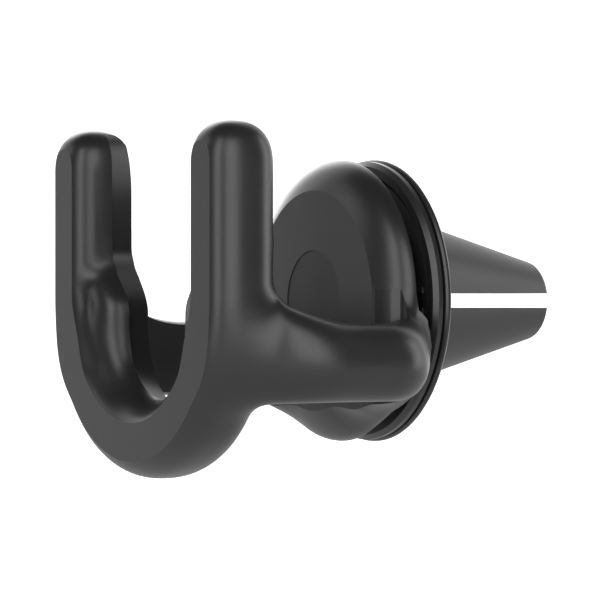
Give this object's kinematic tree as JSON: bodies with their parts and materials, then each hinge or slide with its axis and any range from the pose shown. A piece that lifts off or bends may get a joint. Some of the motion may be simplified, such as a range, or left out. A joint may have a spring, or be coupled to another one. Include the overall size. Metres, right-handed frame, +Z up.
{
  "type": "car phone mount",
  "caption": "Air-vent phone mount: a U-shaped fork for a pop-out phone grip, on a ball-jointed disc, with a ring-tightened pair of tapered clip jaws.",
  "frame": {"origin": "on the clip's axis, in the middle of the rim's thickness, where the blade slot's middle plane crosses it", "axes": "+X to the right as the driver sees it, +Y along the clip into the vent, +Z up"},
  "size_m": [0.0646, 0.0745, 0.0549],
  "materials": {
    "shell_black": "soft satin moulded plastic",
    "cap_black": "satin moulded plastic",
    "ring_black": "satin moulded plastic",
    "inner_black": "fine matt moulded plastic",
    "jaw_black": "fine satin moulded plastic",
    "rubber_black": "matt rubber",
    "acetal": "natural bearing plastic",
    "steel": "zinc-plated steel"
  },
  "bodies": {
    "clip": {"front_plate": "inner_black", "socket_cap": "inner_black", "socket_cap_screws": "steel", "friction_ring": "rubber_black", "clip_housing": "ring_black", "rear_cover": "ring_black", "cover_screws": "steel"},
    "lock_ring": {"lock_ring": "ring_black", "cam_plate": "steel", "cam_screws": "steel"},
    "jaw_upper": {"jaw_upper": "jaw_black", "jaw_pad_upper": "rubber_black", "cam_pin_upper": "steel"},
    "jaw_lower": {"jaw_lower": "jaw_black", "jaw_pad_lower": "rubber_black", "cam_pin_lower": "steel"},
    "swivel_yaw": {"front_liner": "acetal"},
    "swivel_pitch": {"rear_liner": "acetal"},
    "head": {"cradle": "shell_black", "face_cap": "cap_black", "stud_screw": "steel", "ball_stud": "steel", "head_back_plate": "inner_black", "back_plate_screws": "steel"}
  },
  "joints": [
    {"name": "head_yaw", "type": "hinge", "parent": "clip", "child": "swivel_yaw", "pos_m": [0, 0.0005, 0], "axis": [0, 0, 1], "range_deg": [-5, 5]},
    {"name": "head_pitch", "type": "hinge", "parent": "swivel_yaw", "child": "swivel_pitch", "pos_m": [0, 0.0005, 0], "axis": [1, 0, 0], "range_deg": [-5, 5]},
    {"name": "head_turn", "type": "hinge", "parent": "swivel_pitch", "child": "head", "pos_m": [0, 0.0005, 0], "axis": [0, 1, 0], "continuous": true},
    {"name": "ring_turn", "type": "hinge", "parent": "clip", "child": "lock_ring", "pos_m": [0, 0, 0], "axis": [0, 1, 0], "range_deg": [-60, 60]},
    {"name": "jaw_upper_slide", "type": "slide", "parent": "clip", "child": "jaw_upper", "axis": [0, 0, -1], "range_m": [-0.00061, 0.00061]},
    {"name": "jaw_lower_slide", "type": "slide", "parent": "clip", "child": "jaw_lower", "axis": [0, 0, 1], "range_m": [-0.00061, 0.00061]}
  ],
  "couplings": [
    {"joint": "jaw_upper_slide", "follows": "ring_turn", "m_per_rad": 0.000573},
    {"joint": "jaw_lower_slide", "follows": "ring_turn", "m_per_rad": 0.000573}
  ]
}
